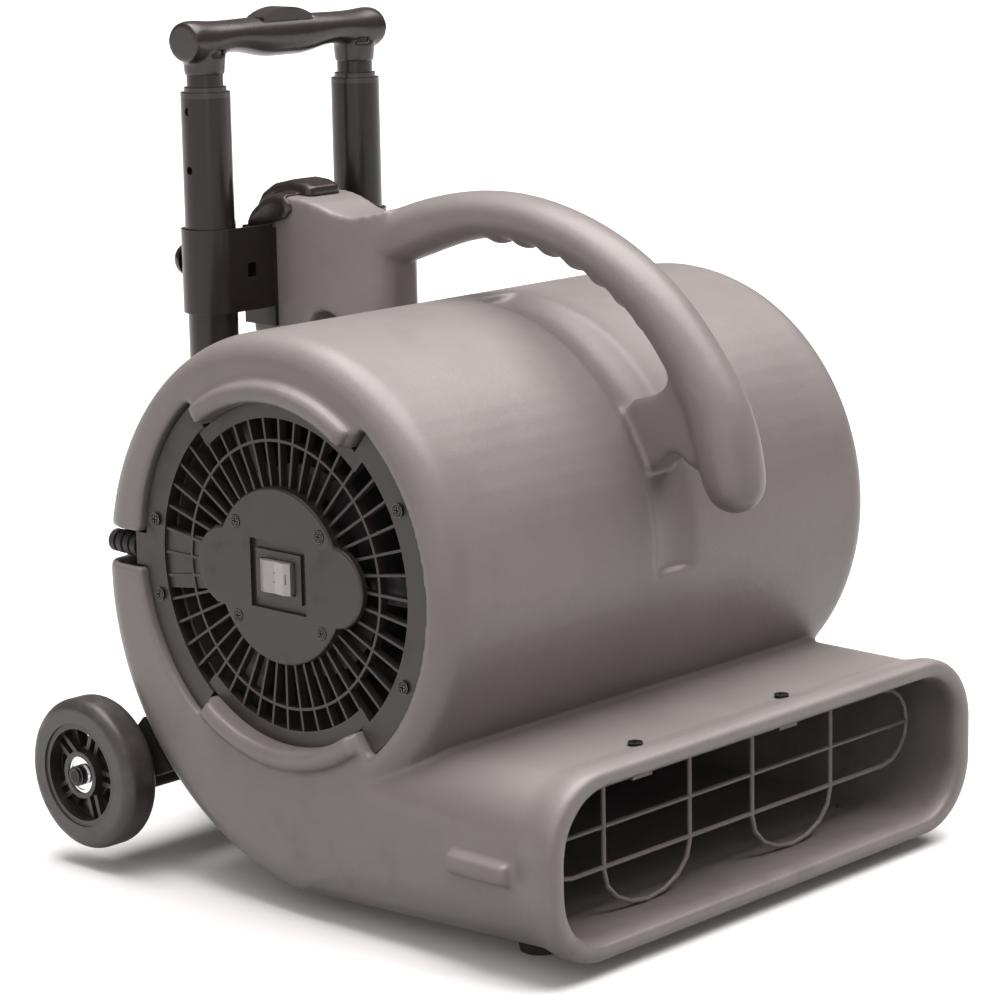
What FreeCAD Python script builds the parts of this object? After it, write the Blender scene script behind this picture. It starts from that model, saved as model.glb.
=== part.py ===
import FreeCAD, Part
import math
import os

# Centrifugal air mover with a telescopic trolley. Millimetres, +Z up, X along the fan axis,
# the outlet mouth faces -Y, the trolley stands at +Y, and the origin is on the floor below the fan.

# Housing
AXIS_Z = 194.5          # height of the fan axis
HALF_W = 183.0          # half width of the drum
SCROLL_R = 134.0        # radius of the drum over its front
SCROLL_START = 1.2      # angle from the front, over the top, where the scroll starts to open
SCROLL_GROWTH = 4.03    # growth of the radius with the square of the angle past that start
WALL = 5.0
BASE_Z = 8.0            # underside of the moulding
EDGE_R = 17.0           # rounding of the drum's side edges
MOUTH_Y = -206.0        # plane of the outlet mouth
MOUTH_HALF_W = 187.0
DUCT_HALF_W = 184.0     # half width of the duct behind the lip
MOUTH_Z = 61.0          # middle of the mouth
MOUTH_HALF_H = 53.0
MOUTH_WALL_X = 14.0     # lip thickness at the ends
MOUTH_WALL_Z = 11.5     # lip thickness above and below
INLET_R = 114.5
LEDGE_R = 98.0          # inner radius of the ledge that the grille is screwed to
HANDLE_W = 17.0         # half width of the carry handle
POST_HALF_W = 25.0

# Fan and motor
FAN_R = 98.0
FAN_HALF_LEN = 72.0
FAN_BLADES = 36
SHAFT_R = 8.0
MOTOR_R = 60.0
MOTOR_X0 = -160.0       # outer end of the motor
MOTOR_X1 = -52.0        # inner end of the motor

# Inlet grille
GRILLE_R = 113.0
GRILLE_X = -177.0       # outer face of the spokes
SPOKES = 44

# Trolley
TUBE_X = 62.5
TUBE_Y = 178.0
TUBE_R = 15.0
MID_R = 12.5
INNER_R = 11.0
TUBE_WALL = 1.5
TUBE_Z0 = 46.0
TUBE_TOP = 441.0
GRIP_Z0 = 462.0
GRIP_TOP = 485.0
STRAP_Z0 = 312.0        # lower edge of the tube clamps
STRAP_Z1 = 362.5        # upper edge of the tube clamps

# Wheels
WHEEL_Y = 152.0
WHEEL_Z = 57.0
WHEEL_R = 45.0
WHEEL_X0 = 180.0        # inner face of the tyre
WHEEL_X1 = 204.0        # outer face of the tyre
RIM_R = 31.0
BEARING_R = 11.0
AXLE_R = 4.0

V = FreeCAD.Vector
X_AXIS = V(1, 0, 0)
Y_AXIS = V(0, 1, 0)
Z_AXIS = V(0, 0, 1)
FAN_CENTRE = V(0, 0, AXIS_Z)


def box(x0, x1, y0, y1, z0, z1):
    return Part.makeBox(x1 - x0, y1 - y0, z1 - z0, V(x0, y0, z0))


def rod(start, direction, radius, length):
    return Part.makeCylinder(radius, length, start, direction)


def pipe(start, direction, outer, inner, length):
    return rod(start, direction, outer, length).cut(rod(start, direction, inner, length))


def fuse(shapes):
    return shapes[0].multiFuse(shapes[1:]).removeSplitter()


def mirror_x(shape):
    return shape.mirror(V(0, 0, 0), X_AXIS)


def both_sides(shape):
    """The piece and its mirror image, as two solids."""
    return Part.makeCompound([shape, mirror_x(shape)])


def plate_yz(points, x0, x1):
    """A plate between two x planes with an outline of (y, z) points."""
    wire = Part.makePolygon([V(x0, y, z) for y, z in points + points[:1]])
    return Part.Face(wire).extrude(V(x1 - x0, 0, 0))


def round_edges(shape, radius, chosen):
    """Round the chosen edges, and leave the shape as it is if the kernel can't."""
    edges = [edge for edge in shape.Edges if chosen(edge)]
    try:
        rounded = shape.makeFillet(radius, edges)
    except Part.OCCError:
        return shape
    return rounded if rounded.isValid() and rounded.Volume > 0 else shape


def save(name, shape):
    if not shape.isValid():
        print("not valid:", name)
    print(name, len(shape.Solids), "solids", round(shape.Volume / 1000.0, 1), "cm3")
    shape.exportStep("parts/" + name + ".step")


# ---------------------------------------------------------------- housing

def scroll_radius(turn):
    """Scroll radius at an angle measured from the front, over the top, in radians."""
    return SCROLL_R + SCROLL_GROWTH * max(0.0, turn - SCROLL_START) ** 2


def scroll_point(x, turn, inset=0.0):
    r = scroll_radius(turn) - inset
    return V(x, -r * math.cos(turn), AXIS_Z + r * math.sin(turn))


def drum(half_width, inset):
    """The scroll drum as a solid, with its flank set in by the inset."""
    first, last, steps = math.radians(-60), math.radians(270), 33
    turns = [first + (last - first) * k / steps for k in range(steps + 1)]
    points = [scroll_point(-half_width, turn, inset) for turn in turns]
    spiral = Part.BSplineCurve()
    spiral.interpolate(points)
    inside = V(-half_width, -100, 60)
    outline = Part.Wire([spiral.toShape()] + Part.makePolygon([points[-1], inside, points[0]]).Edges)
    return Part.Face(outline).extrude(V(2 * half_width, 0, 0))


def round_flanks(shape, half_width, radius):
    """Round the two long spiral edges of a drum."""
    return round_edges(shape, radius, lambda edge: edge.Length > 300
                       and abs(abs(edge.CenterOfMass.x) - half_width) < 0.01)


def mouth_section(y, half_w, z0, z1, radius):
    """A rounded rectangle in the plane at y, as a wire."""
    rounded = []
    for sx, sz, start in ((1, 1, 0), (-1, 1, 90), (-1, -1, 180), (1, -1, 270)):
        cx = sx * (half_w - radius)
        cz = (z1 - radius) if sz > 0 else (z0 + radius)
        ends = [V(cx + radius * math.cos(math.radians(start + a)), y,
                  cz + radius * math.sin(math.radians(start + a))) for a in (0, 45, 90)]
        rounded.append(Part.Arc(*ends).toShape())
    edges = []
    for arc, following in zip(rounded, rounded[1:] + rounded[:1]):
        edges.append(arc)
        edges.append(Part.LineSegment(arc.Vertexes[-1].Point, following.Vertexes[0].Point).toShape())
    return Part.Wire(Part.__sortEdges__(edges))


def loft_sections(sections):
    return Part.makeLoft([mouth_section(*section) for section in sections], True, True)


def duct_outside():
    top = MOUTH_Z + MOUTH_HALF_H
    body = loft_sections([(MOUTH_Y + 14, DUCT_HALF_W, BASE_Z + 4, top - 4, 38),
                          (4, DUCT_HALF_W - 1.1, BASE_Z + 1.5, top - 8, 20)])
    lip = loft_sections([(MOUTH_Y, MOUTH_HALF_W, BASE_Z, top, 42),
                         (MOUTH_Y + 16, MOUTH_HALF_W, BASE_Z, top, 42)])
    lip = round_edges(lip, 5, lambda edge: True)
    flare = loft_sections([(MOUTH_Y + 11, MOUTH_HALF_W, BASE_Z, top, 42),
                           (MOUTH_Y + 28, DUCT_HALF_W - 0.3, BASE_Z + 4, top - 4.3, 37.5)])
    return [body, lip, flare]


def duct_inside():
    half_w = MOUTH_HALF_W - MOUTH_WALL_X
    z0, z1 = BASE_Z + MOUTH_WALL_Z, MOUTH_Z + MOUTH_HALF_H - MOUTH_WALL_Z
    flare = loft_sections([(MOUTH_Y - 1, half_w + 3, z0 - 3, z1 + 3, 35), (MOUTH_Y + 7, half_w, z0, z1, 32)])
    straight = loft_sections([(MOUTH_Y + 6, half_w, z0, z1, 32), (-120, half_w + 3, z0 - 3, z1, 24)])
    back = loft_sections([(-122, half_w + 3.6, z0 - 3.6, z1 + 0.6, 24),
                          (1, half_w + 2, z0 - 4.5, z1 - 6, 15)])
    return [flare, straight, back]


# Points down the middle of the carry handle, with its half thickness at each, from the post forward.
HANDLE_PATH = [(94, 352, 15), (66, 362, 16.5), (40, 370, 15.5), (9, 376, 14), (-34, 374.5, 13.5),
               (-75, 363, 13.5), (-107, 346, 14), (-131, 326, 15), (-151, 302, 16.5), (-166, 277, 18),
               (-174, 252, 18.3), (-177, 240.5, 17.5)]


def handle_bar():
    """The carry handle: an oval bar over the drum, thicker at its tail, with finger bumps below."""
    curve = Part.BSplineCurve()
    curve.interpolate([V(0, y, z) for y, z, half in HANDLE_PATH])
    sections = []
    for k, (y, z, half) in enumerate(HANDLE_PATH):
        centre = V(0, y, z)
        along = curve.tangent(curve.parameter(centre))[0]
        wide = max(half, HANDLE_W) if k > 0 else half + 0.5
        narrow = min(half, wide)
        oval = Part.Ellipse(V(0, 0, 0), wide, narrow - 0.01).toShape()
        oval.rotate(V(0, 0, 0), X_AXIS, math.degrees(math.atan2(-along.y, along.z)))
        oval.translate(centre)
        sections.append(Part.Wire([oval]))
    tail = HANDLE_PATH[-1]
    pieces = [Part.makeLoft(sections, True), Part.makeSphere(tail[2] - 0.5, V(0, tail[0], tail[1]))]
    for k in range(7):
        at = curve.parameterAtDistance(102 + 21.5 * k, curve.FirstParameter)
        centre, along = curve.value(at), curve.tangent(at)[0]
        inward = V(0, -along.z, along.y)
        if inward.z > 0:
            inward = -inward
        pieces.append(Part.makeSphere(13, centre + inward * 4.0))
    return pieces


def handle_web():
    """The wall that ties the front of the handle to the drum, above the hooked tail."""
    wall = plate_yz([(-90, 262), (-112, 282), (-125, 284.5), (-132, 288.5), (-136.5, 294), (-137, 301),
                     (-134, 309), (-150, 304), (-170, 268), (-163, 250), (-156, 246.5), (-150, 249),
                     (-145, 253.5), (-139, 254), (-130, 246), (-115, 238)], -11, 11)
    return round_edges(wall, 5, lambda edge: abs(edge.CenterOfMass.x) > 10.9)


def rear_post():
    """The thick post behind the hand opening, which carries the trolley bracket."""
    post = plate_yz([(76, 290), (74, 332), (70, 345), (62, 354), (52, 360), (54, 374), (74, 376),
                     (87, 372.5), (98, 370.2), (108, 370), (118, 371.8), (130, 376), (142, 378.5),
                     (160, 380), (174, 374), (182, 364), (184, 354), (184, 296), (150, 262),
                     (120, 250)], -30, 30)
    nose = [(18, 95), (16.5, 86), (14, 79), (8, 74.5)]
    plan = [(POST_HALF_W, 184), (POST_HALF_W, 150)] + nose
    plan = plan + [(-x, y) for x, y in reversed(plan)]
    wire = Part.makePolygon([V(x, y, 240) for x, y in plan + plan[:1]])
    post = post.common(Part.Face(wire).extrude(V(0, 0, 160)))
    post = round_edges(post, 8, lambda edge: edge.CenterOfMass.z > 360 and abs(edge.CenterOfMass.x) > 12
                       and 92 < edge.CenterOfMass.y < 180)
    arch = rod(V(-40, 124, 300), X_AXIS, 11, 80).fuse(box(-40, 40, 113, 135, 270, 300))
    drum_below = drum(HALF_W, 0)
    return [post.cut(arch.cut(drum_below))]


def inlet_arc(upper):
    """A raised stand-off bumper along the inlet's edge, above or below it, on a land that fills the edge."""
    raised = pipe(V(-190, 0, AXIS_Z), X_AXIS, 109, 97, 22).common(bumper_sector(upper, 35.5))
    raised = round_edges(raised, 4, lambda edge: edge.CenterOfMass.x < -189.9)
    return raised.fuse(pipe(V(-182.4, 0, AXIS_Z), X_AXIS, 117, 97.5, 15).common(bumper_sector(upper, 37)))


def side_pad():
    pad = box(-191, -178, -175, -131, 54, 66)
    return round_edges(pad, 4, lambda edge: edge.CenterOfMass.x < -185)


def valley(wall):
    """The shallow channel moulded into the drum below the carry handle, grown by a wall thickness."""
    ring = Part.makeTorus(SCROLL_R + 31, 36 + wall, FAN_CENTRE, X_AXIS)
    return ring.common(box(-60, 60, -190, 4 + wall, AXIS_Z - 10 - wall, 380))


def make_housing():
    body = drum(HALF_W, 0)
    body = round_flanks(body, HALF_W, EDGE_R)
    body = body.multiFuse(duct_outside())
    body = body.cut(valley(0))
    arcs = [inlet_arc(True), inlet_arc(False)]
    extras = arcs + [side_pad()]
    extras = extras + [mirror_x(piece) for piece in extras]
    legs = [Part.makeCone(17, 26, 40, V(x, y, BASE_Z + 2), Z_AXIS) for x, y in FOOT_PLACES if y > 0]
    body = body.multiFuse(handle_bar() + [handle_web()] + rear_post() + extras + legs)

    hollow = round_flanks(drum(HALF_W - WALL, WALL), HALF_W - WALL, EDGE_R - WALL)
    hollow = hollow.cut(valley(WALL)).multiFuse(duct_inside())
    body = body.cut(hollow.fuse(rod(V(-200, 0, AXIS_Z), X_AXIS, INLET_R, 400)))
    ledge = pipe(V(GRILLE_X + 8, 0, AXIS_Z), X_AXIS, INLET_R + 4, LEDGE_R, 4)
    collar = pipe(V(-181, 0, AXIS_Z), X_AXIS, INLET_R + 4, INLET_R, 16)
    recess = [ledge, collar] + arcs
    body = body.multiFuse(recess + [mirror_x(piece) for piece in recess])
    for y, z in grille_screw_places():
        body = body.cut(rod(V(-172, y, z), X_AXIS, 2.1, 12)).cut(rod(V(160, y, z), X_AXIS, 2.1, 12))
    body = body.cut(box(-200, -160, 96, 165, AXIS_Z - 11, AXIS_Z + 9))
    for x in GRID_SCREWS_X:
        body = body.cut(rod(V(x, -176, 95), Z_AXIS, 2.1, 30))
        body = body.cut(rod(V(x, -176, SCREW_SEAT_Z), Z_AXIS, 5.5, 10))
    for x, y in FOOT_PLACES:
        body = body.cut(rod(V(x, y, 0), Z_AXIS, 2.1, 26))
    return body


FOOT_PLACES = [(-133, -148), (133, -148), (-105, 50), (105, 50)]
GRID_SCREWS_X = [-85, 42]
SCREW_SEAT_Z = 109.0     # spot faces in the duct top


# ---------------------------------------------------------------- inlet grilles and switch

def radial_bar(angle, r0, r1, width, x0, x1):
    bar = box(x0, x1, -width / 2, width / 2, r0, r1)
    bar.rotate(V(0, 0, 0), X_AXIS, angle)
    bar.translate(FAN_CENTRE)
    return bar


def grille(with_cord_channel):
    x0, x1 = GRILLE_X, GRILLE_X + 6
    rings = [pipe(V(x0 - 1, 0, AXIS_Z), X_AXIS, GRILLE_R, 97.5, 9),
             pipe(V(x0, 0, AXIS_Z), X_AXIS, 76.3, 74.7, 5),
             rod(V(x0, 0, AXIS_Z), X_AXIS, 50, 5)]
    rim = pipe(V(x0, 0, AXIS_Z), X_AXIS, 98, 88, 5)
    rims = [rim.common(bumper_sector(upper, 42)) for upper in (True, False)]
    spokes = [radial_bar(360.0 * k / SPOKES, 48, 98.5, 1.5, x0, x1 - 1) for k in range(SPOKES)]
    body = rings[0].multiFuse(rings[1:] + rims + spokes)
    if with_cord_channel:
        channel = plate_yz([(0, AXIS_Z - 9), (104, AXIS_Z - 22), (104, AXIS_Z + 14), (0, AXIS_Z + 9)],
                           x0 + 1, x1 - 2)
        tongue = box(x0 - 1, x0 + 8, 106, 122, AXIS_Z - 10.5, AXIS_Z + 8.5)
        body = body.multiFuse([channel, tongue])
        body = body.cut(box(x0 + 0.6, x0 + 9, 106, 124, AXIS_Z - 8, AXIS_Z + 6))
    for upper in (True, False):
        bumper = inlet_arc(upper)
        clearance = pipe(V(-200, 0, AXIS_Z), X_AXIS, 118, 96.7, 60).common(bumper_sector(upper, 38.2))
        body = body.cut(clearance.fuse(bumper))
    for y, z in grille_screw_places():
        boss = rod(V(x0 - 1, y, z), X_AXIS, 5.5, 9)
        body = body.fuse(boss).cut(rod(V(x0 - 2, y, z), X_AXIS, 2.1, 20))
    if with_cord_channel:
        for y, z in cover_screw_places():
            body = body.cut(rod(V(x0 - 2, y, z), X_AXIS, 1.6, 20))
    return body


def bumper_sector(upper, degrees):
    """The wedge above or below the fan axis that reaches that many degrees to each side."""
    spread = math.radians(degrees)
    side = 1 if upper else -1
    points = [(0, AXIS_Z), (170 * math.sin(spread), AXIS_Z + side * 170 * math.cos(spread)),
              (-170 * math.sin(spread), AXIS_Z + side * 170 * math.cos(spread))]
    return plate_yz(points, -210, -150)


def grille_screw_places():
    places = []
    for angle in (10, 152, 207, 346):
        turn = math.radians(angle)
        places.append((105 * math.cos(turn), AXIS_Z + 105 * math.sin(turn)))
    return places


def cover_screw_places():
    return [(sy * 33.5, AXIS_Z + sz * 27) for sy in (-1, 1) for sz in (-1, 1)]


def screw(start, inward, head_r, head_h, shank_r, length):
    """A pan-head screw with a cross recess; the head stands out against the inward direction."""
    head = rod(start - inward * head_h, inward, head_r, head_h)
    shank = rod(start, inward, shank_r, length)
    body = head.fuse(shank)
    side = V(inward.y, inward.z, inward.x)
    other = inward.cross(side)
    for along in (side, other):
        cut = Part.makeBox(head_r * 1.2, head_r * 0.28, head_h * 0.6)
        cut.translate(V(-head_r * 0.6, -head_r * 0.14, 0))
        frame = FreeCAD.Matrix(along.x, inward.cross(along).x, inward.x, 0,
                               along.y, inward.cross(along).y, inward.y, 0,
                               along.z, inward.cross(along).z, inward.z, 0, 0, 0, 0, 1)
        cut = cut.transformGeometry(frame)
        cut.translate(start - inward * (head_h * 1.01))
        body = body.cut(cut)
    return body


def switch_cover():
    """Raised centre cover with two side ears and a recess for the rocker switch."""
    x0, x1 = GRILLE_X - 4, GRILLE_X
    centre = rod(V(x0, 0, AXIS_Z), X_AXIS, 50, x1 - x0)
    ears = box(x0, x1, -52, 52, AXIS_Z - 22, AXIS_Z + 22)
    ear_ends = [rod(V(x0, sy * 43, AXIS_Z), X_AXIS, 23, x1 - x0) for sy in (-1, 1)]
    body = fuse([centre, ears.common(rod(V(x0, 0, AXIS_Z), X_AXIS, 66, 20))] + ear_ends)
    body = round_edges(body, 1.5, lambda edge: edge.CenterOfMass.x < x0 + 0.01)
    body = body.cut(box(x0 - 1, x0 + 2.5, -22, 22, AXIS_Z - 19.5, AXIS_Z + 19.5))
    body = body.cut(box(x0 - 1, x1 + 1, -15.2, 15.2, AXIS_Z - 11.2, AXIS_Z + 11.2))
    for y, z in cover_screw_places():
        body = body.cut(rod(V(x0 - 1, y, z), X_AXIS, 2.1, 20))
        body = body.cut(rod(V(x0 - 1, y, z), X_AXIS, 4.0, 2.6))
    return body


def switch_body():
    """Panel-mount rocker switch: bezel, open cradle and a closed back."""
    x0 = GRILLE_X - 1.5
    bezel = box(x0 - 2, x0, -18, 18, AXIS_Z - 14, AXIS_Z + 14)
    can = box(x0, x0 + 12.5, -15, 15, AXIS_Z - 11, AXIS_Z + 11)
    hollow = box(x0 - 5, x0 + 10.5, -13.5, 13.5, AXIS_Z - 9.5, AXIS_Z + 9.5)
    tabs = [box(x0 + 12.5, x0 + 17, y - 3, y + 3, AXIS_Z - 0.4, AXIS_Z + 0.4) for y in (-9, 0, 9)]
    pin_holes = rod(V(ROCKER_X, 0, AXIS_Z - 10.5), Z_AXIS, 1.25, 21)
    return bezel.multiFuse([can] + tabs).cut(hollow).cut(pin_holes)


ROCKER_X = GRILLE_X + 4.0


def rocker():
    """Three-position rocker that tilts about a Z pin in the switch body."""
    points = [(-11.9, -10), (-8, -11.6), (0, -10.6), (8, -11.6), (11.9, -10), (9.5, -1), (3, 3.5),
              (-3, 3.5), (-9.5, -1)]
    wire = Part.makePolygon([V(ROCKER_X + x, y, AXIS_Z - 9) for y, x in points + points[:1]])
    pins = rod(V(ROCKER_X, 0, AXIS_Z - 10.4), Z_AXIS, 1.2, 20.8)
    return Part.Face(wire).extrude(V(0, 0, 18)).fuse(pins)


def grille_hole_in_middle(body):
    return body.cut(box(GRILLE_X - 2, GRILLE_X + 8, -15.2, 15.2, AXIS_Z - 11.2, AXIS_Z + 11.2))


def make_inlet_pieces():
    left = grille_hole_in_middle(grille(True))
    right = mirror_x(grille(False))
    save("inlet_grille_left", left)
    save("inlet_grille_right", right)
    save("switch_cover", switch_cover())
    save("cover_screws", Part.makeCompound([screw(V(GRILLE_X - 2.4, y, z), X_AXIS, 3.6, 2.0, 1.55, 7)
                                            for y, z in cover_screw_places()]))
    screws = [screw(V(GRILLE_X - 1, y, z), X_AXIS, 3.8, 1.6, 2.0, 12.5) for y, z in grille_screw_places()]
    save("grille_screws", Part.makeCompound(screws + [mirror_x(piece) for piece in screws]))
    save("switch_body", switch_body())
    save("rocker", rocker())
    save("cord_gland", cord_gland())


def cord_gland():
    """Ribbed strain relief with the bore that the mains cord comes out of."""
    x, z = GRILLE_X + 6, AXIS_Z - 1
    body = rod(V(x, 107, z), Y_AXIS, 4.6, 16)
    ribs = [rod(V(x, 124 + 6.4 * k, z), Y_AXIS, 7.4 - 0.25 * k, 4.2) for k in range(4)]
    core = rod(V(x, 120, z), Y_AXIS, 5.2, 28)
    body = fuse([body, core] + ribs)
    return body.cut(rod(V(x, 100, z), Y_AXIS, 3.6, 60))


# ---------------------------------------------------------------- fan and motor

BRACKET_ANGLES = (90, 210, 330)


def bell(x0, length, bore):
    """A cast motor end bell with cooling slots."""
    body = pipe(V(x0, 0, AXIS_Z), X_AXIS, MOTOR_R, bore, length)
    for k in range(8):
        body = body.cut(radial_bar(45 * k + 22.5, 26, 46, 8, x0 - 1, x0 + length + 1))
    return body


def make_motor():
    length = MOTOR_X1 - MOTOR_X0
    save("motor_shell", pipe(V(MOTOR_X0 + 14, 0, AXIS_Z), X_AXIS, MOTOR_R, MOTOR_R - 2, length - 28))
    outer = bell(MOTOR_X0, 14, 11)
    for angle in BRACKET_ANGLES:
        outer = outer.cut(rod(V(MOTOR_X0 - 1, *bolt_place(angle)), X_AXIS, 2.6, 12))
    save("motor_end_bell_outer", outer)
    save("motor_end_bell_inner", bell(MOTOR_X1 - 14, 14, 11))
    stator = pipe(V(MOTOR_X0 + 34, 0, AXIS_Z), X_AXIS, MOTOR_R - 2, 33, 40)
    save("motor_stator", stator)
    winding = [pipe(V(x, 0, AXIS_Z), X_AXIS, 52, 36, 14) for x in (MOTOR_X0 + 20, MOTOR_X0 + 74)]
    save("motor_windings", Part.makeCompound(winding))
    bearings = [pipe(V(x, 0, AXIS_Z), X_AXIS, 11, SHAFT_R + 0.05, 9) for x in (MOTOR_X0 + 2, MOTOR_X1 - 11)]
    save("motor_bearings", Part.makeCompound(bearings))
    save("motor_shaft", rod(V(MOTOR_X0 + 1, 0, AXIS_Z), X_AXIS, SHAFT_R, 14 - MOTOR_X0))
    save("motor_rotor", pipe(V(MOTOR_X0 + 34, 0, AXIS_Z), X_AXIS, 32.5, SHAFT_R, 40))


def bracket_arm(angle):
    """One strut from the motor's outer end bell to the back of the housing's inlet ledge."""
    x0 = GRILLE_X + 12
    arm = radial_bar(angle, MOTOR_R - 9, 110, 16, x0, x0 + 3)
    foot = radial_bar(angle, MOTOR_R - 9, MOTOR_R, 16, x0, MOTOR_X0)
    return arm.fuse(foot).cut(rod(V(x0 - 1, *bolt_place(angle)), X_AXIS, 2.6, 20))


def make_fan():
    outer = rod(V(-FAN_HALF_LEN, 0, AXIS_Z), X_AXIS, FAN_R, 2 * FAN_HALF_LEN)
    disc = pipe(V(-1.5, 0, AXIS_Z), X_AXIS, FAN_R, 18, 3)
    rims = [pipe(V(x, 0, AXIS_Z), X_AXIS, FAN_R, FAN_R - 16, 2) for x in (-FAN_HALF_LEN, FAN_HALF_LEN - 2)]
    blades = []
    for k in range(FAN_BLADES):
        blade = box(-FAN_HALF_LEN + 1, FAN_HALF_LEN - 1, -0.6, 0.6, -8, 8)
        blade.rotate(V(0, 0, 0), X_AXIS, 28)
        blade.translate(V(0, 0, FAN_R - 9))
        blade.rotate(V(0, 0, 0), X_AXIS, 360.0 * k / FAN_BLADES)
        blade.translate(FAN_CENTRE)
        blades.append(blade.common(outer))
    save("blower_wheel", disc.multiFuse(rims + blades))
    hub = pipe(V(-12, 0, AXIS_Z), X_AXIS, 18, SHAFT_R, 24)
    hub = hub.cut(rod(V(6, 0, AXIS_Z + 4), Z_AXIS, 3, 20))
    save("blower_hub", hub)
    save("hub_set_screw", rod(V(6, 0, AXIS_Z + SHAFT_R + 0.1), Z_AXIS, 3, 9))
    ring = inlet_ring()
    cord_gap = box(-170, -150, 99, 130, AXIS_Z - 10, AXIS_Z + 8)
    save("inlet_ring_left", ring.cut(cord_gap))
    save("inlet_ring_right", mirror_x(ring))
    save("motor_bracket", Part.makeCompound([bracket_arm(angle) for angle in BRACKET_ANGLES]))
    bolts = [screw(V(GRILLE_X + 12, *bolt_place(angle)), X_AXIS, 4.5, 3, 2.5, 14)
             for angle in BRACKET_ANGLES]
    save("motor_bolts", Part.makeCompound(bolts))


def bolt_place(angle):
    turn = math.radians(angle)
    return (-56 * math.sin(turn), AXIS_Z + 56 * math.cos(turn))


def inlet_ring():
    """The flared inlet cone on the back of the ledge, with three gaps for the motor struts."""
    x0 = GRILLE_X + 12
    outer = Part.makeCone(100, 88, 78, V(x0, 0, AXIS_Z), X_AXIS)
    inner = Part.makeCone(98, 86, 78, V(x0, 0, AXIS_Z), X_AXIS)
    flange = pipe(V(x0, 0, AXIS_Z), X_AXIS, 112, 99, 2)
    ring = outer.cut(inner).fuse(flange)
    for angle in BRACKET_ANGLES:
        ring = ring.cut(radial_bar(angle, 90, 120, 16.6, x0 - 1, x0 + 3.3))
    return ring


def make_controls():
    x0 = GRILLE_X + 5
    case = box(x0, x0 + 11, -40, -18, AXIS_Z - 25, AXIS_Z + 25)
    case = case.cut(box(x0 - 1, x0 + 9, -38, -20, AXIS_Z - 23, AXIS_Z + 23))
    save("control_box", case)
    save("capacitor", rod(V(x0 + 5.5, 30, AXIS_Z - 24), Z_AXIS, 5.5, 48))


# ---------------------------------------------------------------- outlet grid and feet

GRID_Y = -176.0
WIRE_R = 1.4


def wire_along(points):
    """Round wire through the points, with round corners."""
    pieces = []
    for a, b in zip(points, points[1:]):
        pieces.append(rod(a, b - a, WIRE_R, (b - a).Length))
    pieces += [Part.makeSphere(WIRE_R, p) for p in points[1:-1]]
    return pieces


def u_loop(centre_x, half, z_top, z_low):
    """A vertical wire loop with a round lower end."""
    points = [V(centre_x - half, GRID_Y, z_top)]
    for k in range(9):
        turn = math.pi * k / 8
        points.append(V(centre_x - half * math.cos(turn), GRID_Y, z_low + half * 0.7 * (1 - math.sin(turn))))
    points.append(V(centre_x + half, GRID_Y, z_top))
    return wire_along(points)


def end_loop(x, side, z0, z1):
    middle = (z0 + z1) / 2
    radius = (z1 - z0) / 2
    points = []
    for k in range(9):
        turn = math.pi * k / 8
        points.append(V(x + side * radius * math.sin(turn), GRID_Y, middle + radius * math.cos(turn)))
    return wire_along(points)


def make_outlet():
    pieces = []
    for z, x0, x1 in ((93, -138, 138), (70, -160, 160), (47, -138, 138)):
        pieces.append(rod(V(x0, GRID_Y, z), X_AXIS, WIRE_R, x1 - x0))
    pieces += end_loop(-138, -1, 47, 93) + end_loop(138, 1, 47, 93)
    for centre in GRID_SCREWS_X:
        pieces += u_loop(centre + 9, 36, 100, 20)
        tab = box(centre - 8, centre + 8, GRID_Y - 5, GRID_Y + 5, 92, 102.2)
        tab = tab.cut(box(centre - 6.5, centre + 6.5, GRID_Y - 6, GRID_Y + 6, 94, 100.7))
        pieces.append(tab.cut(rod(V(centre, GRID_Y, 99), Z_AXIS, 2.1, 5)))
    save("outlet_grid", pieces[0].multiFuse(pieces[1:]))
    save("outlet_grid_screws", Part.makeCompound(
        [screw(V(x, GRID_Y, SCREW_SEAT_Z), V(0, 0, -1), 4.2, 2.2, 2.0, 14) for x in GRID_SCREWS_X]))


def make_feet():
    feet, screws = [], []
    for x, y in FOOT_PLACES:
        foot = Part.makeCone(11, 14, BASE_Z + 6, V(x, y, 0))
        foot = foot.cut(HOUSING_SOLID)
        foot = foot.cut(rod(V(x, y, 3), Z_AXIS, 2.1, 30)).cut(rod(V(x, y, 0), Z_AXIS, 5, 4))
        feet.append(max(foot.Solids, key=lambda solid: solid.Volume))
        screws.append(screw(V(x, y, 4), Z_AXIS, 4.2, 2.0, 2.0, 14))
    save("rubber_feet", Part.makeCompound(feet))
    save("foot_screws", Part.makeCompound(screws))


# ---------------------------------------------------------------- trolley

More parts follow.
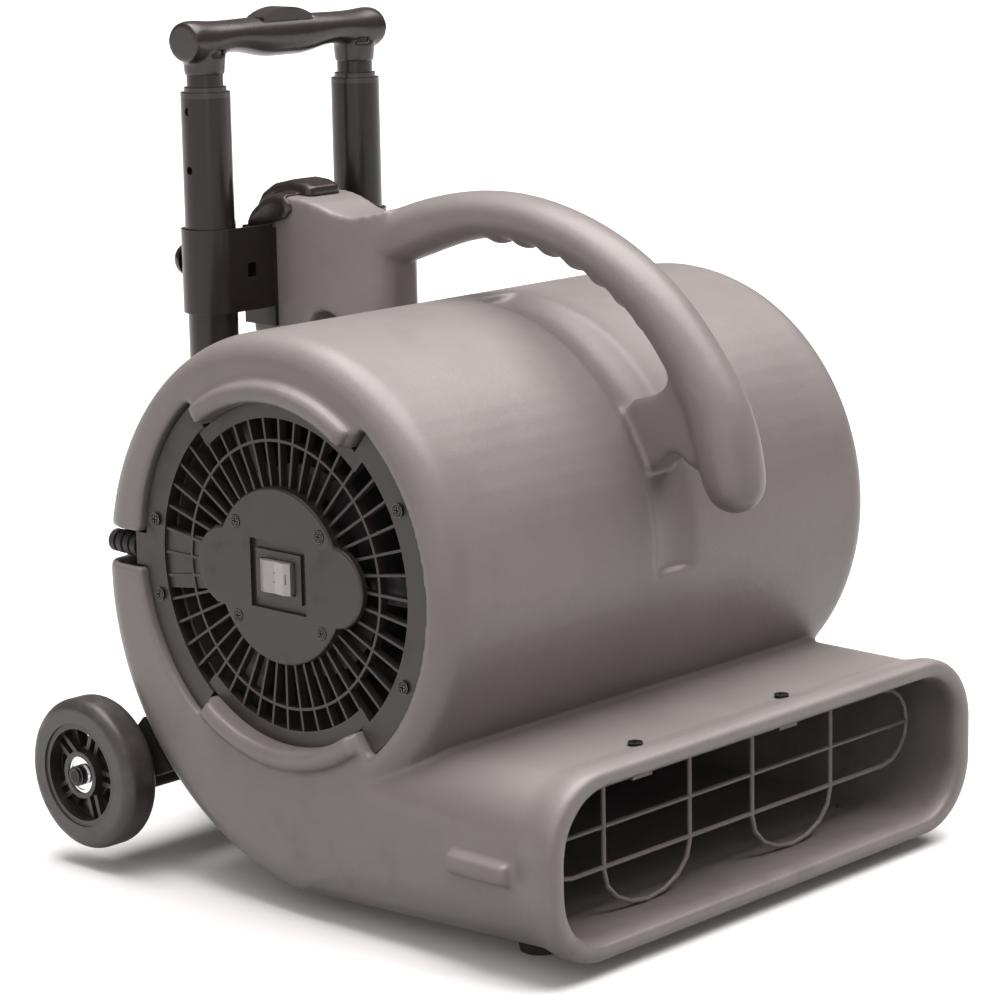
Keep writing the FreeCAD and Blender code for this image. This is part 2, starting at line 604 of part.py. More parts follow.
def make_tubes():
    outer = pipe(V(-TUBE_X, TUBE_Y, TUBE_Z0), Z_AXIS, TUBE_R, TUBE_R - TUBE_WALL, TUBE_TOP - TUBE_Z0)
    for z in (398, 433):
        outer = outer.cut(rod(V(-TUBE_X - 20, TUBE_Y, z), X_AXIS, 2.5, 10))
    collar = pipe(V(-TUBE_X, TUBE_Y, TUBE_TOP), Z_AXIS, TUBE_R, MID_R + 0.3, 3)
    skirt = pipe(V(-TUBE_X, TUBE_Y, TUBE_TOP - 24), Z_AXIS, TUBE_R - TUBE_WALL, MID_R + 0.3, 24)
    collar = collar.fuse(skirt)
    mid = pipe(V(-TUBE_X, TUBE_Y, TUBE_Z0 + 20), Z_AXIS, MID_R, MID_R - 1.1, TUBE_TOP + 3 - TUBE_Z0 - 20)
    mid_collar = pipe(V(-TUBE_X, TUBE_Y, TUBE_TOP + 3), Z_AXIS, MID_R + 0.3, INNER_R + 0.3, 3)
    mid_bush = pipe(V(-TUBE_X, TUBE_Y, TUBE_Z0 + 12), Z_AXIS, TUBE_R - TUBE_WALL - 0.3, 5, 8)
    inner_length = GRIP_Z0 + 14 - TUBE_Z0 - 34
    inner = pipe(V(-TUBE_X, TUBE_Y, TUBE_Z0 + 34), Z_AXIS, INNER_R, INNER_R - 1.2, inner_length)
    for side, place in (("left", lambda s: s), ("right", mirror_x)):
        save("outer_tube_" + side, place(outer))
        save("outer_collar_" + side, place(collar))
        save("mid_tube_" + side, place(mid))
        save("inner_tube_" + side, place(inner))
    save("mid_collars", both_sides(mid_collar))
    save("mid_bushes", both_sides(mid_bush))


# Half of the grip from its middle outwards: distance from the middle, underside and top.
GRIP_SHAPE = [(0, 461.5, 486), (15, 461.8, 486), (30, 464.5, 485.7), (42, 466, 485.5), (54, 464.5, 485.5),
              (67, 461, 486.3), (79, 463, 485.5)]


def grip_blank():
    """The D grip: a bar with round lobed ends, a bellied underside and two sockets."""
    shape = [(-x, low, top) for x, low, top in reversed(GRIP_SHAPE[1:])] + GRIP_SHAPE
    sections = []
    for x, low, top in shape:
        oval = Part.Ellipse(V(0, 0, 0), 13.2, (top - low) / 2).toShape()
        oval.rotate(V(0, 0, 0), Z_AXIS, 90)
        oval.rotate(V(0, 0, 0), Y_AXIS, 90)
        oval.translate(V(x, TUBE_Y, (top + low) / 2))
        sections.append(Part.Wire([oval]))
    blank = Part.makeLoft(sections, True)
    return round_edges(blank, 10, lambda edge: abs(edge.CenterOfMass.x) > 77)


def make_grip():
    grip = grip_blank()
    for x in (-TUBE_X, TUBE_X):
        socket = Part.makeCone(12, 13, 12, V(x, TUBE_Y, GRIP_Z0 - 8), Z_AXIS)
        grip = grip.fuse(socket).cut(rod(V(x, TUBE_Y, GRIP_Z0 - 10), Z_AXIS, INNER_R, 24))
    pocket = box(-20.5, 20.5, TUBE_Y - 8, TUBE_Y + 8, GRIP_Z0 + 5, GRIP_TOP + 5)
    grip = grip.cut(pocket)
    save("grip", grip)
    dome = Part.makeCylinder(40, 17, V(0, TUBE_Y - 8.5, GRIP_TOP + 6 - 40), Y_AXIS)
    button = box(-20, 20, TUBE_Y - 7.5, TUBE_Y + 7.5, GRIP_TOP - 8, GRIP_TOP + 6).common(dome)
    button = button.cut(rod(V(0, TUBE_Y, GRIP_TOP - 9), Z_AXIS, 4.5, 5))
    save("release_button", button)
    coil = pipe(V(0, TUBE_Y, GRIP_Z0 + 5), Z_AXIS, 3.8, 2.8, GRIP_TOP - 4 - GRIP_Z0 - 5)
    save("button_spring", coil)


def make_bracket():
    """Steel bracket on the post, the two tube clamps, their bolts and the cap over the post."""
    half = POST_HALF_W
    z0, z1 = 300, 350
    bracket = box(-half - 3, half + 3, 184.2, 187.2, z0, z1 + 10)
    flanges = [box(x, x + 2.6, 160, 187.2, z0, z1 + 10) for x in (-half - 3, half + 0.4)]
    bracket = bracket.multiFuse(flanges)
    save("post_bracket", bracket)
    outer_r, inner_r = TUBE_R + 2.6, TUBE_R
    strap = rod(V(-TUBE_X, TUBE_Y, STRAP_Z0), Z_AXIS, outer_r, STRAP_Z1 - STRAP_Z0)
    strap = strap.fuse(box(-TUBE_X, -half - 3, TUBE_Y - outer_r, TUBE_Y + outer_r, STRAP_Z0, STRAP_Z1))
    strap = strap.cut(rod(V(-TUBE_X, TUBE_Y, STRAP_Z0), Z_AXIS, inner_r, STRAP_Z1 - STRAP_Z0))
    strap = strap.cut(box(-TUBE_X, -half, TUBE_Y - inner_r, TUBE_Y + inner_r, STRAP_Z0, STRAP_Z1))
    strap = strap.cut(box(-49, -42, TUBE_Y - 25, TUBE_Y, 332, 341))
    strap = strap.cut(rod(V(-TUBE_X, TUBE_Y, 342), Y_AXIS, 3.1, 30))
    save("clamp_strap_left", strap)
    save("clamp_strap_right", mirror_x(strap))
    head = Part.makeSphere(11, V(-TUBE_X, 206.0 - 11, 342))
    head = head.common(box(-100, -30, TUBE_Y + outer_r, 210, 320, 360))
    bolt = head.fuse(rod(V(-TUBE_X, TUBE_Y + TUBE_R, 342), Y_AXIS, 3, outer_r - TUBE_R))
    save("clamp_bolts", both_sides(bolt))
    ridge = plate_yz([(191, 352), (191.5, 370), (186, 378.5), (176, 384.5), (160, 388), (149, 387),
                      (142, 384), (141, 376), (150, 352)], -14, 14)
    ridge = round_edges(ridge, 5, lambda edge: abs(abs(edge.CenterOfMass.x) - 14) < 0.01
                        and edge.CenterOfMass.z > 371)
    lobes = plate_yz([(183, 354), (183, 363), (179.5, 371), (170.5, 377.5), (160, 381), (151, 380.5),
                      (145, 376), (144.5, 370), (148, 366.5), (162, 363), (171, 359)], -half - 3, half + 3)
    lobes = round_edges(lobes, 6, lambda edge: abs(abs(edge.CenterOfMass.x) - half - 3) < 0.01
                        and edge.CenterOfMass.z > 368)
    cap = ridge.fuse(lobes)
    cap = cap.cut(HOUSING_SOLID).cut(box(-half - 3.1, half + 3.1, 160, 187.2, z0, z1 + 10))
    save("post_cap", max(cap.Solids, key=lambda solid: solid.Volume))


def make_axle():
    beam = box(-176, 176, WHEEL_Y - 16, WHEEL_Y + 16, WHEEL_Z - 16, WHEEL_Z + 16)
    beam = round_edges(beam, 5, lambda edge: edge.Length > 300)
    arm = plate_yz([(WHEEL_Y - 10, WHEEL_Z + 16), (WHEEL_Y - 16, WHEEL_Z - 8), (104, 62), (84, 84),
                    (106, 106), (124, 92)], 148, 176)
    arms = [arm, mirror_x(arm)]
    sockets = [rod(V(x, TUBE_Y, WHEEL_Z - 16), Z_AXIS, TUBE_R + 4, 44) for x in (-TUBE_X, TUBE_X)]
    bridges = [box(x - 15, x + 15, WHEEL_Y, TUBE_Y, WHEEL_Z - 16, WHEEL_Z + 16) for x in (-TUBE_X, TUBE_X)]
    beam = beam.multiFuse(arms + sockets + bridges).cut(drum(HALF_W, 0))
    for x in (-TUBE_X, TUBE_X):
        beam = beam.cut(rod(V(x, TUBE_Y, TUBE_Z0), Z_AXIS, TUBE_R, 60))
    beam = beam.cut(rod(V(-200, WHEEL_Y, WHEEL_Z), X_AXIS, AXLE_R, 400))
    save("axle_beam", max(beam.Solids, key=lambda solid: solid.Volume))
    save("axle", rod(V(-207, WHEEL_Y, WHEEL_Z), X_AXIS, AXLE_R, 414))
    nut = pipe(V(-206, WHEEL_Y, WHEEL_Z), X_AXIS, 6, AXLE_R, 3.7)
    save("axle_nuts", both_sides(nut))
    spacer = pipe(V(-180.7, WHEEL_Y, WHEEL_Z), X_AXIS, 6, AXLE_R, 4.7)
    save("axle_spacers", both_sides(spacer))


def tyre():
    body = pipe(V(WHEEL_X0, WHEEL_Y, WHEEL_Z), X_AXIS, WHEEL_R, RIM_R, WHEEL_X1 - WHEEL_X0)
    return round_edges(body, 7, lambda edge: edge.Length > 2 * math.pi * (WHEEL_R - 1))


def wheel_hub():
    """Moulded wheel centre: rim, boss and paired spokes."""
    centre = V(0, WHEEL_Y, WHEEL_Z)
    rim = pipe(centre + X_AXIS * (WHEEL_X0 + 1), X_AXIS, RIM_R, 27.5, WHEEL_X1 - WHEEL_X0 - 2)
    boss = rod(centre + X_AXIS * (WHEEL_X0 + 1), X_AXIS, 14, 22)
    web = pipe(centre + X_AXIS * (WHEEL_X0 + 10), X_AXIS, 28, 13, 4)
    spokes = []
    for k in range(5):
        for offset in (-3.4, 3.4):
            bar = box(WHEEL_X0 + 4, WHEEL_X1 - 6, offset - 1.4, offset + 1.4, 12.5, 28)
            bar.rotate(V(0, 0, 0), X_AXIS, 72 * k + 20)
            bar.translate(centre)
            spokes.append(bar)
    for k in range(5):
        gap = pipe(centre + X_AXIS * (WHEEL_X0 + 8), X_AXIS, 26.5, 15.5, 10)
        wedge = box(WHEEL_X0, WHEEL_X1, -5.2, 5.2, 0, 40)
        wedge.rotate(V(0, 0, 0), X_AXIS, 72 * k + 56)
        wedge.translate(centre)
        web = web.cut(gap.common(wedge))
    body = rim.multiFuse([boss, web] + spokes)
    body = body.cut(rod(centre + X_AXIS * 170, X_AXIS, 8, 40))
    body = body.cut(rod(centre + X_AXIS * (WHEEL_X0 + 1), X_AXIS, BEARING_R, 7))
    return body.cut(rod(centre + X_AXIS * (WHEEL_X1 - 8), X_AXIS, BEARING_R, 7))


def wheel_bearings():
    pair = []
    for x in (WHEEL_X0 + 1, WHEEL_X1 - 8):
        ring = pipe(V(x, WHEEL_Y, WHEEL_Z), X_AXIS, BEARING_R, AXLE_R + 0.05, 6)
        groove = pipe(V(x + 5.2, WHEEL_Y, WHEEL_Z), X_AXIS, 9.3, 6.2, 2)
        pair.append(ring.cut(groove))
    return Part.makeCompound(pair)


def make_wheels():
    for name, piece in (("tyre", tyre()), ("wheel_hub", wheel_hub()), ("wheel_bearings", wheel_bearings())):
        save(name + "_right", piece)
        save(name + "_left", mirror_x(piece))


os.makedirs("parts", exist_ok=True)
HOUSING_SOLID = make_housing()
save("housing", HOUSING_SOLID)
make_inlet_pieces()
make_motor()
make_fan()
make_controls()
make_outlet()
make_feet()
make_tubes()
make_grip()
make_bracket()
make_axle()
make_wheels()
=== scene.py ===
import math

import bmesh
import bpy
from mathutils import Matrix, Vector


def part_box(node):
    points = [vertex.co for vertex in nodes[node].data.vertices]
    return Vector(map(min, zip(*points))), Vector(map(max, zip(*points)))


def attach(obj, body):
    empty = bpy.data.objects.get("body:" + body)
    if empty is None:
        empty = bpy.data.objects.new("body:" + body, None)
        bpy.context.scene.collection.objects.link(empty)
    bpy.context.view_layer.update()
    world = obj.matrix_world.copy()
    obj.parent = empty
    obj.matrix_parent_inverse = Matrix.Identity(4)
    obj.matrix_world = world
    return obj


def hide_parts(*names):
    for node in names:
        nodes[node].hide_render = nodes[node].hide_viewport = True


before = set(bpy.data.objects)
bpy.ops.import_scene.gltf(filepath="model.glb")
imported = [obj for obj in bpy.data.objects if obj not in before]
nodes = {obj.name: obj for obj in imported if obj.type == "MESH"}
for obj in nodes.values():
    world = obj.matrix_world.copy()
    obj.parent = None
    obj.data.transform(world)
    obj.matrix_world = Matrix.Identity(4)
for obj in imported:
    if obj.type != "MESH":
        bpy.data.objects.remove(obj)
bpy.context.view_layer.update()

# ------------------------------------------------------------------ studio
# A white floor that runs far past the machine, a broad soft key from above and the far side,
# a weak fill from the switch side, and two soft boxes that give the dark tubes and the tyres
# their long highlights.
scene = bpy.context.scene
scene.view_settings.view_transform = "Standard"

lens_mm, camera_azimuth, camera_elevation, camera_roll = 119.65, -46.68, 11.86, -1.06
camera_distance, camera_target = 1.956, Vector((-0.0015, 0.0, 0.208))
azimuth, elevation = math.radians(camera_azimuth), math.radians(camera_elevation)
back = Vector((math.sin(azimuth) * math.cos(elevation), -math.cos(azimuth) * math.cos(elevation),
               math.sin(elevation)))
level_right = Vector((0, 0, 1)).cross(back).normalized()
level_up = back.cross(level_right)
roll = math.radians(camera_roll)
right = level_right * math.cos(roll) + level_up * math.sin(roll)
up = level_up * math.cos(roll) - level_right * math.sin(roll)
camera = bpy.data.objects.new("camera", bpy.data.cameras.new("camera"))
camera.data.lens = lens_mm
camera.data.clip_start, camera.data.clip_end = 0.05, 100
place = camera_target + back * camera_distance
camera.matrix_world = Matrix((right, up, back)).transposed().to_4x4()
camera.matrix_world.translation = place
scene.collection.objects.link(camera)
scene.camera = camera

world = bpy.data.worlds.new("studio")
world.use_nodes = True
world.node_tree.nodes["Background"].inputs["Color"].default_value = (1.0, 0.95, 0.94, 1)
world.node_tree.nodes["Background"].inputs["Strength"].default_value = 0.15
scene.world = world


def sun(name, strength, spread, direction, colour=(1.0, 0.95, 0.94)):
    """An even, soft light from far away; direction is the way that the light travels."""
    light = bpy.data.lights.new(name, "SUN")
    light.energy, light.angle, light.color = strength, math.radians(spread), colour
    lamp = bpy.data.objects.new(name, light)
    lamp.rotation_mode = "QUATERNION"
    lamp.rotation_quaternion = Vector(direction).to_track_quat("-Z", "Y")
    scene.collection.objects.link(lamp)


def soft_box(name, power, size, centre, aim):
    """A rectangular area light that looks at the aim point."""
    light = bpy.data.lights.new(name, "AREA")
    light.shape, light.energy = "RECTANGLE", power
    light.size, light.size_y = size
    lamp = bpy.data.objects.new(name, light)
    lamp.location = centre
    lamp.rotation_mode = "QUATERNION"
    lamp.rotation_quaternion = (Vector(aim) - Vector(centre)).to_track_quat("-Z", "Y")
    scene.collection.objects.link(lamp)


sun("key", 5.0, 62, (-0.22, 0.10, -1.0))
sun("fill", 1.0, 80, (0.9, 0.15, -0.5))
soft_box("overhead_box", 8, (1.2, 0.9), (-0.3, 0.3, 1.6), (0, 0, 0.2))
soft_box("front_box", 2.5, (0.25, 1.4), (-1.3, -1.5, 0.9), (0, 0, 0.25))

# ------------------------------------------------------------------ finishes
# Each finish is mixed as arithmetic on sockets, in metres on the piece itself, so that a
# grain, a scuff or a mould flow line keeps its real size on every piece.


class Tone:
    """A socket of a finish; arithmetic on it adds Math nodes."""

    def __init__(self, finish, socket):
        self.finish, self.socket = finish, socket

    def math(self, operation, *others):
        return self.finish.node("Math", {"operation": operation}, dict(enumerate((self, *others))))

    def __add__(self, other):
        return self.math("ADD", other)

    def __sub__(self, other):
        return self.math("SUBTRACT", other)

    def __rsub__(self, other):
        return self.finish.node("Math", {"operation": "SUBTRACT"}, {0: other, 1: self})

    def __mul__(self, other):
        return self.math("MULTIPLY", other)

    def __truediv__(self, other):
        return self.math("DIVIDE", other)

    def between(self, low, high):
        """0 below low, 1 above high, and smooth from one to the other."""
        return self.finish.node("MapRange", {"interpolation_type": "SMOOTHSTEP"},
                                {"Value": self, "From Min": low, "From Max": high})

    __radd__ = __add__
    __rmul__ = __mul__


class Finish:
    """One material, mixed node by node and closed with a Principled surface."""

    def __init__(self, name):
        self.material = bpy.data.materials.new(name)
        self.material.use_nodes = True
        self.tree = self.material.node_tree
        self.tree.nodes.clear()
        self.place = self.node("TexCoord", {}, {}, "Object")

    def node(self, kind, settings, sockets, out=0):
        made = self.tree.nodes.new("ShaderNode" + kind)
        for key, value in settings.items():
            setattr(made, key, value)
        for key, value in sockets.items():
            if isinstance(value, Tone):
                self.tree.links.new(value.socket, made.inputs[key])
            else:
                made.inputs[key].default_value = value
        return Tone(self, made.outputs[out]) if made.outputs else None

    def noise(self, size, detail=3.0, roughness=0.55, stretch=(1, 1, 1)):
        """Noise whose features are about that many metres across."""
        scale = tuple(1.0 / (size * part) for part in stretch)
        spot = self.node("Mapping", {}, {"Vector": self.place, "Scale": scale})
        return self.node("TexNoise", {}, {"Vector": spot, "Scale": 1.0, "Detail": detail,
                                          "Roughness": roughness}, "Fac")

    def axis(self, name):
        return self.node("SeparateXYZ", {}, {"Vector": self.place}, name)

    def blend(self, share, first, second):
        """A colour between the two, by a share from 0 to 1."""
        made = self.tree.nodes.new("ShaderNodeMix")
        made.data_type = "RGBA"
        colours = [socket for socket in made.inputs if socket.type == "RGBA"]
        for socket, value in ((made.inputs[0], share), (colours[0], first), (colours[1], second)):
            if isinstance(value, Tone):
                self.tree.links.new(value.socket, socket)
            else:
                socket.default_value = value if isinstance(value, float) else (*value, 1)
        return Tone(self, [socket for socket in made.outputs if socket.type == "RGBA"][0])

    def worn_edge(self, reach, amount=1.0):
        """1 on outward edges within about the reach, 0 on flats."""
        bevelled = self.node("Bevel", {"samples": 4}, {"Radius": reach})
        plain = self.node("NewGeometry", {}, {}, "Normal")
        along = self.node("VectorMath", {"operation": "DOT_PRODUCT"}, {0: bevelled, 1: plain}, "Value")
        return (1.0 - along).between(0.01, 0.25) * amount

    def close(self, colour, roughness, bump=None, depth=0.0002, **constants):
        """The finished surface. Constants are plain numbers on the shader's own sockets."""
        sockets = {"Roughness": roughness, **constants}
        sockets["Base Color"] = colour if isinstance(colour, Tone) else (*colour, 1)
        if bump is not None:
            sockets["Normal"] = self.node("Bump", {}, {"Height": bump, "Distance": depth, "Strength": 1.0})
        surface = self.node("BsdfPrincipled", {}, sockets)
        self.node("OutputMaterial", {}, {"Surface": surface})
        return self.material


def coat(material, *names):
    """Give the finish to CAD pieces, in their own material slots."""
    for name in names:
        slots = nodes[name].material_slots
        if not slots:
            nodes[name].data.materials.append(material)
        for held in nodes[name].material_slots:
            held.link = "OBJECT"
            held.material = material


def soften(name, voxel, passes, keep=1.0):
    """Run a moulding's sharp meeting lines into each other, as its mould does; keep is a share of faces."""
    piece = nodes[name]
    remesh = piece.modifiers.new("mould_skin", "REMESH")
    remesh.mode, remesh.voxel_size, remesh.use_smooth_shade = "VOXEL", voxel, True
    smooth = piece.modifiers.new("soft_corners", "SMOOTH")
    smooth.factor, smooth.iterations = 0.5, passes
    if keep < 1.0:
        thin = piece.modifiers.new("fewer_faces", "DECIMATE")
        thin.ratio = keep


# ------------------------------------------------------------------ housing
# One rotomoulded polyethylene shell: drum, duct, lip, handle, post and bumpers are a single
# skin about 5 mm thick. The powder gives it a faint pebble and slow patches of gloss.
housing_grey = (0.218, 0.196, 0.193)
housing_pale = (0.252, 0.230, 0.226)
# The darker grey serves both random grime patches and painted shade near the floor.
housing_grime_and_shade = (0.168, 0.149, 0.146)

soften("housing", 0.0019, 9, 0.45)
roto = Finish("rotomoulded_grey")
pebble = roto.noise(0.0011, 2.0, 0.5)
flow = roto.noise(0.09, 4.0, 0.6)
scuff = roto.noise(0.012, 5.0, 0.7, (3.5, 1, 1)).between(0.60, 0.74)
grime_and_shade_noise = roto.noise(0.03, 5.0, 0.65)
# Darker towards the floor: painted shade low on the drum and duct, laid over random grime patches that
# darken the whole shell a little.
floor_shade = 1.0 - roto.axis("Z").between(0.0, 0.10)
tint = roto.blend(flow.between(0.35, 0.65) * 0.55, housing_grey, housing_pale)
tint = roto.blend(grime_and_shade_noise.between(0.48, 0.72) * (floor_shade * 0.5 + 0.22), tint, housing_grime_and_shade)
tint = roto.blend(scuff * 0.20, tint, housing_pale)
shine = 0.40 + flow * 0.10 + scuff * 0.12 - roto.noise(0.006, 3.0) * 0.06
roto_skin = pebble * 0.5 + roto.noise(0.006, 3.0) * 0.5
coat(roto.close(tint, shine, roto_skin, 0.00022, **{"Coat Weight": 0.12, "Coat Roughness": 0.35}), "housing")

# ------------------------------------------------------------------ inlet grilles and switch
# Injection moulded guards in warm black polypropylene, screwed into the inlets; the switch
# side also holds the eared cover with the grey three-position rocker.
guard = Finish("moulded_charcoal")
guard_grain = guard.noise(0.0006, 2.0)
guard_dust = guard.noise(0.02, 5.0, 0.65).between(0.5, 0.75)
guard_tint = guard.blend(guard_dust * 0.35, (0.028, 0.021, 0.020), (0.048, 0.039, 0.037))
guard_tint = guard.blend(guard.worn_edge(0.0008) * 0.4, guard_tint, (0.10, 0.086, 0.083))
charcoal = guard.close(guard_tint, 0.42 + guard_dust * 0.15 + guard_grain * 0.06, guard_grain, 0.00006)
coat(charcoal, "inlet_grille_left", "inlet_grille_right", "switch_cover", "control_box", "axle_beam",
     "switch_body", "mid_bushes")

bright = Finish("zinc_plate")
brushed = bright.noise(0.0008, 3.0, 0.6, (6, 1, 1))
bright_tint = bright.blend(brushed, (0.34, 0.33, 0.33), (0.52, 0.51, 0.51))
zinc = bright.close(bright_tint, 0.24 + brushed * 0.2, brushed, 0.00003, Metallic=1.0)
coat(zinc, "axle_spacers", "motor_shaft", "motor_bolts", "hub_set_screw", "foot_screws")

oxide = Finish("black_oxide_screws")
oxide_wear = oxide.worn_edge(0.0006)
oxide_tint = oxide.blend(oxide_wear * 0.8, (0.02, 0.018, 0.018), (0.35, 0.34, 0.34))
coat(oxide.close(oxide_tint, 0.3 + oxide.noise(0.001) * 0.15, Metallic=0.85), "cover_screws",
     "grille_screws", "outlet_grid_screws", "axle", "axle_nuts")

hood = Finish("rocker_hood")
hood_swirl = hood.noise(0.002, 3.0)
coat(hood.close(hood.blend(hood_swirl, (0.34, 0.31, 0.305), (0.44, 0.41, 0.405)), 0.12 + hood_swirl * 0.08,
                **{"Coat Weight": 0.8, "Coat Roughness": 0.05}), "rocker")


def curve_piece(name, strands, radius, body, material, closed=False):
    """Round strands through lists of points, as one piece that rides on a body."""
    line = bpy.data.curves.new(name, "CURVE")
    line.dimensions, line.bevel_depth, line.bevel_resolution = "3D", radius, 3
    line.use_fill_caps = True
    for points in strands:
        strand = line.splines.new("POLY")
        strand.points.add(len(points) - 1)
        strand.use_cyclic_u = closed
        for held, point in zip(strand.points, points):
            held.co = (*point, 1)
    line.materials.append(material)
    piece = bpy.data.objects.new(name, line)
    scene.collection.objects.link(piece)
    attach(piece, body)
    return piece


# Moulded position marks on the rocker: one bar, a ring and two bars, the usual generic signs.
mark = Finish("mark_ink")
mark_paint = mark.close(mark.blend(mark.noise(0.001), (0.03, 0.03, 0.03), (0.06, 0.06, 0.06)), 0.5)
rocker_low, rocker_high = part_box("rocker")
rocker_mid = (rocker_low + rocker_high) / 2
face_x = rocker_low.x + 0.0006
line_radius, bar_half, ring_radius = 0.00035, 0.0028, 0.0026
bars = [rocker_mid.y + 0.0078, rocker_mid.y - 0.0066, rocker_mid.y - 0.0092]
strokes = [[(face_x, y, rocker_mid.z - bar_half), (face_x, y, rocker_mid.z + bar_half)] for y in bars]
curve_piece("rocker_bars", strokes, line_radius, "rocker", mark_paint)
ring_points = [(face_x + 0.0006, rocker_mid.y + ring_radius * math.cos(math.tau * k / 24),
                rocker_mid.z + ring_radius * math.sin(math.tau * k / 24)) for k in range(24)]
curve_piece("rocker_ring", [ring_points], line_radius, "rocker", mark_paint, True)

# ------------------------------------------------------------------ rubber pieces
# The ribbed cord boot and the four screwed feet, in matt black rubber with a little bloom.
bloom = Finish("black_rubber")
bloom_dust = bloom.noise(0.008, 5.0, 0.7).between(0.45, 0.75)
bloom_tint = bloom.blend(bloom_dust * 0.5, (0.018, 0.017, 0.017), (0.045, 0.043, 0.043))
coat(bloom.close(bloom_tint, 0.62 + bloom_dust * 0.2, bloom.noise(0.0008), 0.00008),
     "cord_gland", "rubber_feet")

# ------------------------------------------------------------------ motor and fan
# Black enamelled motor on enamelled bracket arms, laminated core and wound coils inside, and
# a moulded double-inlet wheel between two flared inlet rings.
enamel = Finish("motor_enamel")
orange_peel = enamel.noise(0.002, 2.0)
coat(enamel.close(enamel.blend(enamel.noise(0.02, 4.0), (0.028, 0.028, 0.029), (0.05, 0.05, 0.05)),
                  0.35 + orange_peel * 0.1, orange_peel, 0.00008), "motor_shell", "motor_end_bell_outer",
     "motor_end_bell_inner", "motor_bracket", "capacitor")
core = Finish("laminated_core")
layers = core.node("Math", {"operation": "PINGPONG"}, {0: core.axis("X"), 1: 0.0005}) / 0.0005
core_tint = core.blend(layers, (0.20, 0.19, 0.18), (0.36, 0.35, 0.34))
coat(core.close(core_tint, 0.35 + layers * 0.2, layers, 0.0001, Metallic=0.9), "motor_stator", "motor_rotor")
coil = Finish("enamelled_copper")
turns = coil.node("Math", {"operation": "PINGPONG"}, {0: coil.axis("X"), 1: 0.0008}) / 0.0008
coat(coil.close(coil.blend(turns, (0.32, 0.10, 0.03), (0.55, 0.22, 0.08)), 0.3 + turns * 0.1, turns, 0.0005,
                Metallic=0.8), "motor_windings")
vane = Finish("fan_plastic")
vane_flow = vane.noise(0.02, 4.0)
vane_tint = vane.blend(vane_flow, (0.050, 0.040, 0.038), (0.080, 0.066, 0.063))
coat(vane.close(vane_tint, 0.50 + vane_flow * 0.12, vane.noise(0.001), 0.00006),
     "blower_wheel", "blower_hub", "inlet_ring_left", "inlet_ring_right")

# ------------------------------------------------------------------ outlet grid
# Spot-welded wire with a grey plastic coat, hung from two screws through the duct top.
wire = Finish("coated_wire")
wire_wave = wire.noise(0.004, 4.0)
coat(wire.close(wire.blend(wire_wave, (0.17, 0.148, 0.145), (0.24, 0.21, 0.206)), 0.38 + wire_wave * 0.15,
                wire.noise(0.0015), 0.00008), "outlet_grid")

# ------------------------------------------------------------------ trolley
# Powder-coated tubes in three stages, glossy moulded collars, formed clamp straps, a moulded
# cap over the post, and the D grip with its sprung release button.
powder = Finish("black_powder_coat")
speckle = powder.noise(0.0009, 2.0)
rub = powder.noise(0.02, 5.0, 0.7, (1, 1, 8)).between(0.56, 0.72)
powder_tint = powder.blend(rub * 0.3, (0.017, 0.012, 0.0115), (0.045, 0.036, 0.034))
powder_tint = powder.blend(powder.worn_edge(0.0007) * 0.35, powder_tint, (0.10, 0.088, 0.085))
coat(powder.close(powder_tint, 0.27 + rub * 0.14 + speckle * 0.05, speckle, 0.00004,
                  **{"Coat Weight": 0.12, "Coat Roughness": 0.12, "Specular IOR Level": 0.3}),
     "outer_tube_left", "outer_tube_right", "mid_tube_left", "mid_tube_right", "inner_tube_left",
     "inner_tube_right", "post_bracket", "clamp_strap_left", "clamp_strap_right", "clamp_bolts")

gloss = Finish("gloss_black_plastic")
wisps = gloss.noise(0.03, 4.0, 0.6, (2, 1, 1))
gloss_scuff = gloss.noise(0.006, 5.0, 0.7).between(0.58, 0.72)
gloss_tint = gloss.blend(wisps, (0.026, 0.019, 0.018), (0.042, 0.033, 0.031))
gloss_shine = 0.24 + gloss_scuff * 0.2 + wisps * 0.08
coat(gloss.close(gloss_tint, gloss_shine, gloss.noise(0.002, 2.0), 0.00004), "grip", "release_button",
     "outer_collar_left", "outer_collar_right", "mid_collars", "post_cap")
soften("grip", 0.0010, 14, 0.5)
soften("post_cap", 0.0009, 10, 0.5)

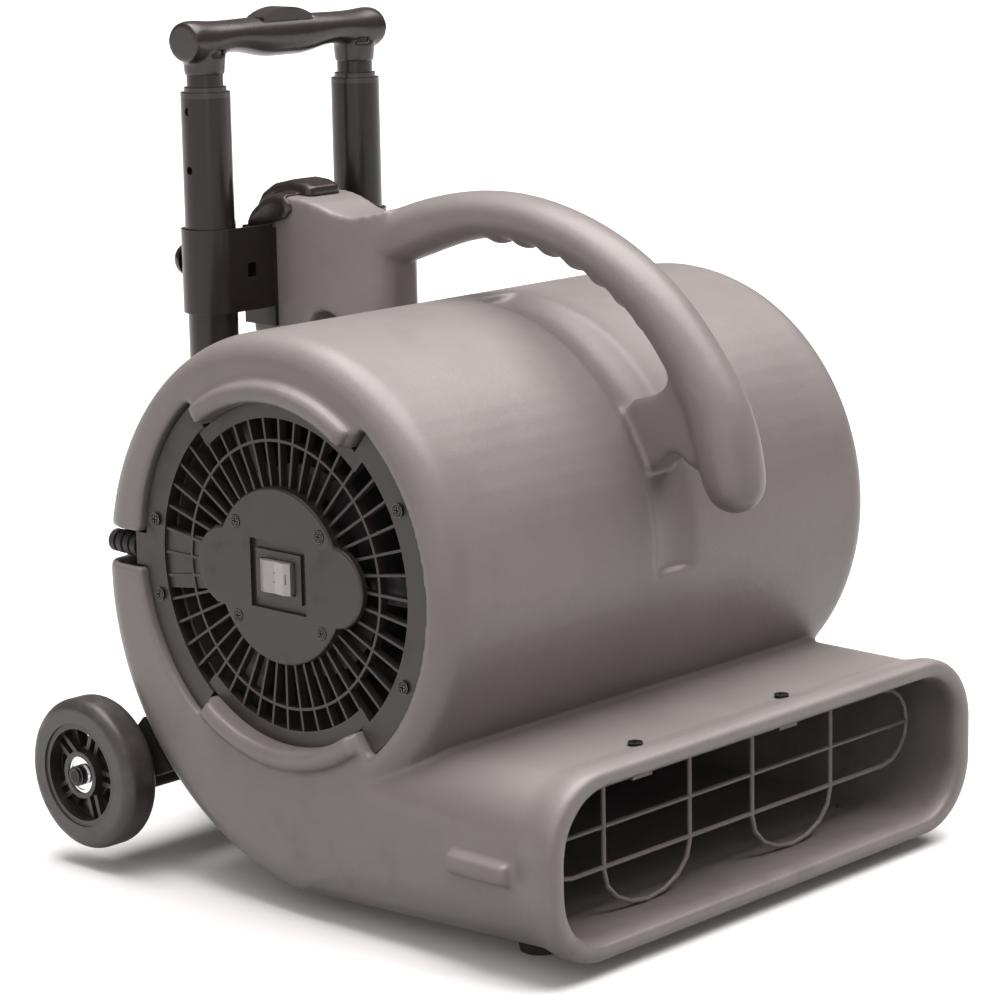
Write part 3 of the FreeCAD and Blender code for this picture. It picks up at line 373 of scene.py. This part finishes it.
# The release spring is a wire coil; it sits in the pocket below the button.
spring_low, spring_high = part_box("button_spring")
spring_centre = (spring_low + spring_high) / 2
spring_wire, spring_turns, turn_steps = 0.0005, 6, 16
coil_radius = (spring_high.x - spring_low.x) / 2 - spring_wire
coil_height = spring_high.z - spring_low.z - 2 * spring_wire
coil_points = []
for step in range(spring_turns * turn_steps + 1):
    turn = math.tau * step / turn_steps
    coil_points.append((spring_centre.x + coil_radius * math.cos(turn),
                        spring_centre.y + coil_radius * math.sin(turn),
                        spring_low.z + spring_wire + coil_height * step / (spring_turns * turn_steps)))
spring = curve_piece("release_spring", [coil_points], spring_wire, "grip_stage", zinc)
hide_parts("button_spring")

# ------------------------------------------------------------------ wheels
# Solid rubber tyres on moulded hubs with paired spokes, and polished bearings on one axle.
tread = Finish("solid_tyre")
tread_dust = tread.noise(0.01, 5.0, 0.7).between(0.45, 0.72)
tread_tint = tread.blend(tread_dust * 0.6, (0.058, 0.050, 0.049), (0.098, 0.088, 0.086))
tread_shine = 0.36 + tread_dust * 0.22
coat(tread.close(tread_tint, tread_shine, tread.noise(0.0012), 0.00008), "tyre_left", "tyre_right")

nylon = Finish("wheel_nylon")
nylon_flow = nylon.noise(0.01, 3.0)
nylon_tint = nylon.blend(nylon_flow, (0.022, 0.019, 0.018), (0.04, 0.035, 0.034))
coat(nylon.close(nylon_tint, 0.34 + nylon_flow * 0.12, nylon.noise(0.001), 0.00005),
     "wheel_hub_left", "wheel_hub_right")

race = Finish("bearing_steel")
hone = race.noise(0.0007, 3.0, 0.6, (8, 1, 1))
race_tint = race.blend(hone, (0.62, 0.62, 0.63), (0.80, 0.80, 0.81))
coat(race.close(race_tint, 0.12 + hone * 0.1, Metallic=1.0),
     "wheel_bearings_left", "wheel_bearings_right", "motor_bearings")

# ------------------------------------------------------------------ floor
# A plain matt sheet that the machine stands on.
sheet = bmesh.new()
bmesh.ops.create_grid(sheet, x_segments=1, y_segments=1, size=40)
floor_mesh = bpy.data.meshes.new("floor")
sheet.to_mesh(floor_mesh)
sheet.free()
floor = bpy.data.objects.new("floor", floor_mesh)
floor.location.z = -0.0002
paper = Finish("studio_paper")
paper_tint = paper.blend(paper.noise(0.3, 2.0), (0.90, 0.90, 0.90), (0.92, 0.92, 0.92))
floor_mesh.materials.append(paper.close(paper_tint, 0.9))
scene.collection.objects.link(floor)
floor.visible_diffuse = False
